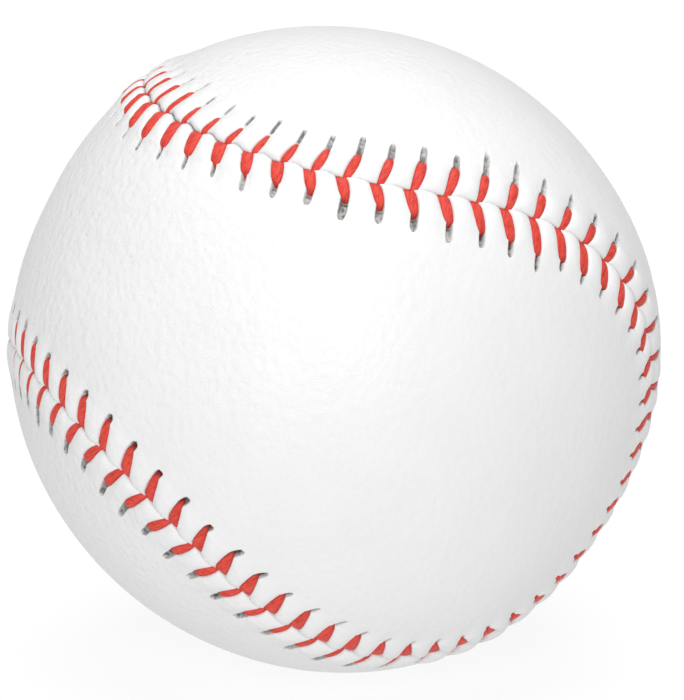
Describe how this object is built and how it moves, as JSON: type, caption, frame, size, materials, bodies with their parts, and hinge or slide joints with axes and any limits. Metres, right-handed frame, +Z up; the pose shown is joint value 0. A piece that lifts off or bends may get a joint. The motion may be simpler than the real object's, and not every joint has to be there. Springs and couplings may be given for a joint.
{
  "type": "baseball",
  "caption": "Round ball for throwing and batting: cushioned cork centre, wound yarn and a white leather cover of two figure-eight panels laced with red thread.",
  "frame": {"origin": "centre of the ball", "axes": "+Z up and +X to the right as the ball lies in the picture, +Y away from the viewer"},
  "size_m": [0.0751, 0.0742, 0.0742],
  "materials": {
    "cork": "pressed composition cork, matte and speckled",
    "black_rubber": "moulded, matte",
    "red_rubber": "moulded, matte",
    "grey_wool": "wound wool yarn",
    "white_wool": "wound wool yarn",
    "finishing_yarn": "fine wound polyester-cotton yarn",
    "white_leather": "smooth tanned white leather, fine grain, soft sheen",
    "red_thread": "waxed cotton lacing thread"
  },
  "bodies": {
    "root": {"cork_core": "cork", "black_rubber_lower": "black_rubber", "black_rubber_upper": "black_rubber", "rubber_gasket": "red_rubber", "red_rubber_cover": "red_rubber", "first_winding": "grey_wool", "second_winding": "white_wool", "third_winding": "grey_wool", "finish_winding": "finishing_yarn", "cover_panel_a": "white_leather", "cover_panel_b": "white_leather", "lacing_strand_a": "red_thread", "lacing_strand_b": "red_thread"}
  },
  "joints": []
}
